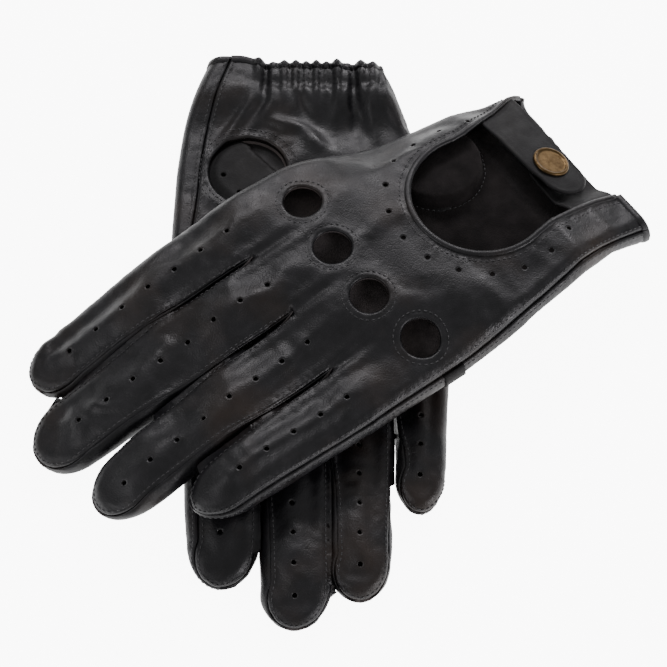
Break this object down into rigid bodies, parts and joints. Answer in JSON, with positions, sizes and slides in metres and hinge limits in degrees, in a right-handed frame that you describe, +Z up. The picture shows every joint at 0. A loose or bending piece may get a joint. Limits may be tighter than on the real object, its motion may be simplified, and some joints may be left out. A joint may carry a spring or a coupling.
{
  "type": "pair of driving gloves",
  "caption": "Pair of unlined leather driving gloves laid one across the other, with knuckle holes, an open back, a snap strap at the wrist and perforated fingers.",
  "frame": {"origin": "centre of the pair's bounding box, on the surface the lower glove lies on", "axes": "+Z up, +Y towards the lower glove's wrist (its fingers point to -Y), +X towards the upper glove's wrist"},
  "size_m": [0.2371, 0.2478, 0.0361],
  "materials": {
    "nappa_leather": "smooth fine-grained black leather, soft gloss",
    "matte_leather": "smooth black leather, matte",
    "suede_leather": "raw flesh side, matte",
    "elastic_webbing": "woven elastic, matte",
    "antique_brass": "antiqued, satin"
  },
  "bodies": {
    "right_glove": {"right_back_panel": "nappa_leather", "right_palm_panel": "nappa_leather", "right_fourchette_index_middle": "nappa_leather", "right_fourchette_middle_ring": "nappa_leather", "right_fourchette_ring_little": "nappa_leather", "right_keyhole_facing": "suede_leather", "right_knuckle_facings": "suede_leather", "right_stud_tab": "matte_leather", "right_snap_stud": "antique_brass", "right_snap_eyelet": "antique_brass", "right_wrist_elastic": "elastic_webbing", "right_cuff_binding": "nappa_leather", "right_side_keeper": "matte_leather"},
    "right_strap": {"right_strap": "matte_leather", "right_snap_cap": "antique_brass", "right_snap_socket": "antique_brass"},
    "right_thumb": {"right_thumb": "matte_leather"},
    "left_glove": {"left_back_panel": "nappa_leather", "left_palm_panel": "nappa_leather", "left_fourchette_index_middle": "nappa_leather", "left_fourchette_middle_ring": "nappa_leather", "left_fourchette_ring_little": "nappa_leather", "left_keyhole_facing": "suede_leather", "left_knuckle_facings": "suede_leather", "left_stud_tab": "matte_leather", "left_snap_stud": "antique_brass", "left_snap_eyelet": "antique_brass", "left_wrist_elastic": "elastic_webbing", "left_cuff_binding": "nappa_leather", "left_side_keeper": "matte_leather"},
    "left_strap": {"left_strap": "matte_leather", "left_snap_cap": "antique_brass", "left_snap_socket": "antique_brass"},
    "left_thumb": {"left_thumb": "matte_leather"}
  },
  "joints": [
    {"name": "left_glove_lift", "type": "slide", "parent": "right_glove", "child": "left_glove", "axis": [0, 0, 1], "range_m": [0, 0.15]},
    {"name": "left_strap_fold", "type": "hinge", "parent": "left_glove", "child": "left_strap", "pos_m": [0.06467, 0.0863, 0.02781], "axis": [-0.5797, -0.7605, 0.2926], "range_deg": [0, 120]},
    {"name": "left_thumb_swing", "type": "hinge", "parent": "left_glove", "child": "left_thumb", "pos_m": [0.03705, 0.06198, 0.0221], "axis": [0, 0, -1], "range_deg": [0, 30]},
    {"name": "right_strap_fold", "type": "hinge", "parent": "right_glove", "child": "right_strap", "pos_m": [-0.04235, 0.1039, 0.0025], "axis": [-0.322, 0.9467, 0], "range_deg": [0, 120]},
    {"name": "right_thumb_swing", "type": "hinge", "parent": "right_glove", "child": "right_thumb", "pos_m": [-0.037, 0.0701, 0.0096], "axis": [0, 0, -1], "range_deg": [0, 30]}
  ]
}
